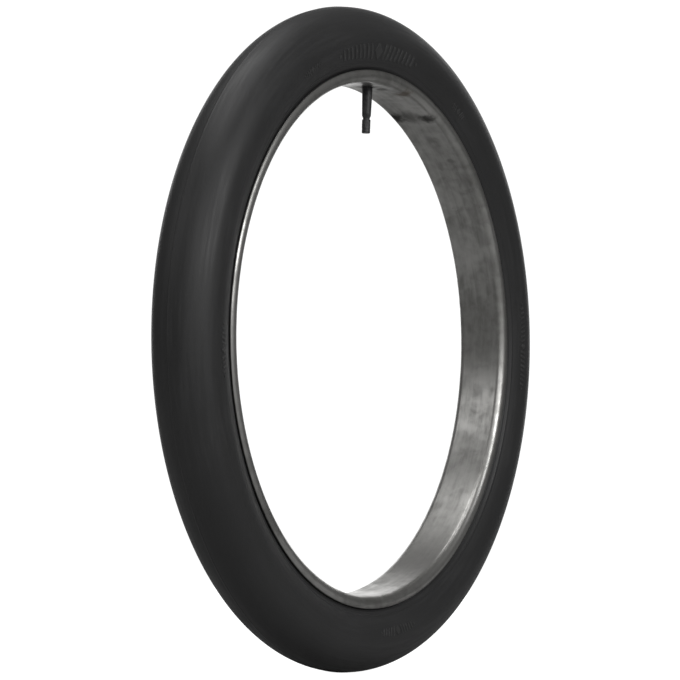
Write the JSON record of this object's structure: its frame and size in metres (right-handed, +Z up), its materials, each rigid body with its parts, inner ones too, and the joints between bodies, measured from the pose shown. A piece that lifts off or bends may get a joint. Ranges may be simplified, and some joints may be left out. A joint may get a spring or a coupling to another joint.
{
  "type": "motorcycle tire",
  "caption": "Plain-tread beaded-edge motorcycle tire mounted on its bare steel rim, with inner tube, rubber-covered valve, valve core and screw cap.",
  "frame": {"origin": "the wheel's centre, on the axle line and the middle plane", "axes": "+Y along the axle, +Z up towards the valve, the wheel lies in the XZ plane"},
  "size_m": [0.711, 0.0736, 0.7112],
  "materials": {
    "tyre_rubber": "satin",
    "breaker_canvas": "matte",
    "ply_cord": "matte",
    "chafer_canvas": "matte",
    "hard_rubber": "satin",
    "tube_rubber": "satin",
    "flap_rubber": "matte",
    "rolled_steel": "satin",
    "valve_rubber": "satin",
    "valve_brass": "satin",
    "core_gasket": "matte",
    "seal_rubber": "matte",
    "spring_steel": "satin",
    "cap_plastic": "matte"
  },
  "bodies": {
    "wheel": {"tread": "tyre_rubber", "breaker_strip": "breaker_canvas", "casing_ply_1": "ply_cord", "casing_ply_2": "ply_cord", "casing_ply_3": "ply_cord", "casing_ply_4": "ply_cord", "sidewall_left": "tyre_rubber", "sidewall_right": "tyre_rubber", "bead_core_left": "hard_rubber", "bead_core_right": "hard_rubber", "chafer_left": "chafer_canvas", "chafer_right": "chafer_canvas", "inner_tube": "tube_rubber", "rim_flap": "flap_rubber", "rim": "rolled_steel", "valve_stem_rubber": "valve_rubber", "valve_insert": "valve_brass", "core_plug": "valve_brass", "core_barrel": "valve_brass", "core_barrel_seal": "core_gasket", "core_spring": "spring_steel"},
    "core_pin": {"core_pin": "valve_brass", "core_cup": "valve_brass", "core_cup_seal": "seal_rubber"},
    "cap_seal": {"cap_seal": "seal_rubber"},
    "valve_cap": {"valve_cap": "cap_plastic"}
  },
  "joints": [
    {"name": "core_press", "type": "slide", "parent": "wheel", "child": "core_pin", "axis": [0, 0, 1], "range_m": [0, 0.0012], "stiffness_N_per_m": 800, "springref_m": -0.001, "deforming": ["core_spring"]},
    {"name": "cap_lift", "type": "slide", "parent": "wheel", "child": "cap_seal", "axis": [0, 0, -1], "range_m": [0, 0.0144]},
    {"name": "cap_turn", "type": "hinge", "parent": "cap_seal", "child": "valve_cap", "pos_m": [0, 0, 0.23], "axis": [0, 0, -1], "range_deg": [0, 6532]}
  ],
  "couplings": [
    {"joint": "cap_turn", "follows": "cap_lift", "rad_per_m": 7915.8}
  ]
}
